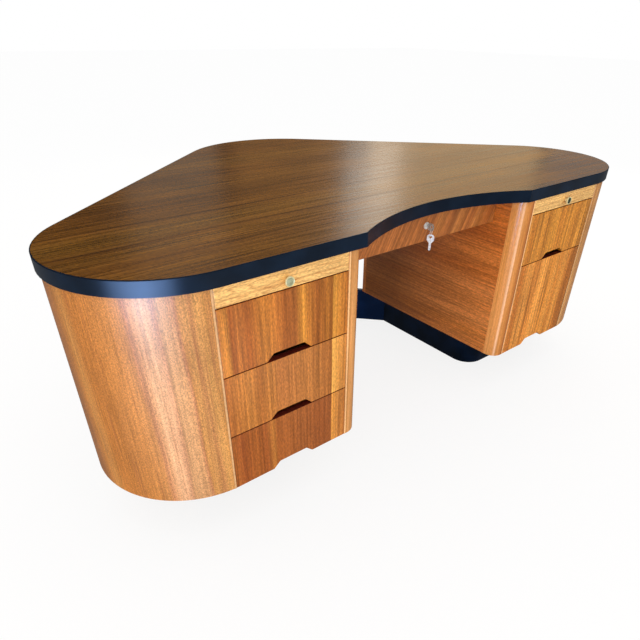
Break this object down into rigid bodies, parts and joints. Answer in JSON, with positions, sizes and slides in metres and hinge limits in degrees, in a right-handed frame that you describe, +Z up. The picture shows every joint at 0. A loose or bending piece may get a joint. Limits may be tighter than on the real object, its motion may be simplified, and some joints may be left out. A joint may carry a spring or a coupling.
{
  "type": "executive desk",
  "caption": "Executive desk with a rounded triangular top, concave sitter's edge, curved veneered pedestals with pull-out slides and drawers, a locking pencil drawer and a black plinth",
  "frame": {"origin": "on the floor, under the middle of the desk's overall box", "axes": "+X to the right of someone who sits at the desk looking forward, +Y from the sitter to the back, +Z up"},
  "size_m": [2.0418, 1.2318, 0.762],
  "materials": {
    "top_veneer": "satin lacquered walnut-brown veneer, grain along the width",
    "edge_band": "satin black edge band",
    "wall_veneer": "lacquered ribbon-stripe mahogany veneer",
    "front_veneer": "lacquered ribbon-stripe mahogany veneer, grain upright",
    "solid_wood": "lacquered solid mahogany",
    "slide_wood": "lacquered pale oak",
    "carcass_wood": "plain plywood and deal",
    "drawer_wood": "plain maple",
    "plinth_paint": "satin black paint on wood",
    "knob_brass": "aged brass",
    "lock_nickel": "worn nickel plate"
  },
  "bodies": {
    "case": {"top_panel": "top_veneer", "edge_band_outer": "edge_band", "edge_band_bite": "edge_band", "plinth_left": "plinth_paint", "plinth_right": "plinth_paint", "plinth_rear": "plinth_paint", "pencil_runners": "carcass_wood", "strike_plate": "lock_nickel", "left_outer_wall": "wall_veneer", "left_inner_side": "wall_veneer", "left_corner_post": "solid_wood", "left_lippings": "solid_wood", "left_bottom": "carcass_wood", "left_bay_inner": "carcass_wood", "left_bay_outer": "carcass_wood", "left_dust_board": "carcass_wood", "left_runners": "carcass_wood", "left_slide_guides": "carcass_wood", "right_outer_wall": "wall_veneer", "right_inner_side": "wall_veneer", "right_corner_post": "solid_wood", "right_lippings": "solid_wood", "right_bottom": "carcass_wood", "right_bay_inner": "carcass_wood", "right_bay_outer": "carcass_wood", "right_dust_board": "carcass_wood", "right_runners": "carcass_wood", "right_slide_guides": "carcass_wood"},
    "slide_left": {"left_slide_front": "slide_wood", "left_slide_board": "slide_wood", "left_slide_knob": "knob_brass"},
    "slide_right": {"right_slide_front": "slide_wood", "right_slide_board": "slide_wood", "right_slide_knob": "knob_brass"},
    "left_top_drawer": {"left_top_drawer_front": "front_veneer", "left_top_drawer_box": "drawer_wood", "left_top_drawer_bottom": "drawer_wood"},
    "left_middle_drawer": {"left_middle_drawer_front": "front_veneer", "left_middle_drawer_box": "drawer_wood", "left_middle_drawer_bottom": "drawer_wood"},
    "left_lower_drawer": {"left_lower_drawer_front": "front_veneer", "left_lower_drawer_box": "drawer_wood", "left_lower_drawer_bottom": "drawer_wood"},
    "right_top_drawer": {"right_top_drawer_front": "front_veneer", "right_top_drawer_box": "drawer_wood", "right_top_drawer_bottom": "drawer_wood"},
    "right_file_drawer": {"right_file_drawer_front": "front_veneer", "right_file_drawer_box": "drawer_wood", "right_file_drawer_bottom": "drawer_wood"},
    "pencil_drawer": {"pencil_drawer_front": "front_veneer", "pencil_drawer_box": "drawer_wood", "pencil_drawer_bottom": "drawer_wood", "lock_cylinder": "lock_nickel"},
    "lock_plug": {"lock_plug": "lock_nickel", "lock_cam": "lock_nickel", "lock_key": "lock_nickel"},
    "keys_on_ring": {"key_ring": "lock_nickel", "spare_key": "lock_nickel"}
  },
  "joints": [
    {"name": "left_slide_pull", "type": "slide", "parent": "case", "child": "slide_left", "axis": [0, -1, 0], "range_m": [0, 0.3]},
    {"name": "right_slide_pull", "type": "slide", "parent": "case", "child": "slide_right", "axis": [0, -1, 0], "range_m": [0, 0.3]},
    {"name": "left_top_drawer_pull", "type": "slide", "parent": "case", "child": "left_top_drawer", "axis": [0, -1, 0], "range_m": [0, 0.34]},
    {"name": "left_middle_drawer_pull", "type": "slide", "parent": "case", "child": "left_middle_drawer", "axis": [0, -1, 0], "range_m": [0, 0.34]},
    {"name": "left_lower_drawer_pull", "type": "slide", "parent": "case", "child": "left_lower_drawer", "axis": [0, -1, 0], "range_m": [0, 0.34]},
    {"name": "right_top_drawer_pull", "type": "slide", "parent": "case", "child": "right_top_drawer", "axis": [0, -1, 0], "range_m": [0, 0.34]},
    {"name": "right_file_drawer_pull", "type": "slide", "parent": "case", "child": "right_file_drawer", "axis": [0, -1, 0], "range_m": [0, 0.34]},
    {"name": "pencil_drawer_pull", "type": "slide", "parent": "case", "child": "pencil_drawer", "axis": [0, -1, 0], "range_m": [0, 0.3]},
    {"name": "lock_turn", "type": "hinge", "parent": "pencil_drawer", "child": "lock_plug", "pos_m": [0, -0.494, 0.685], "axis": [0, 1, 0], "range_deg": [0, 90]},
    {"name": "key_ring_swing", "type": "hinge", "parent": "lock_plug", "child": "keys_on_ring", "pos_m": [0, -0.516, 0.68265], "axis": [-0.4695, 0.8829, 0], "range_deg": [-10, 10]}
  ]
}
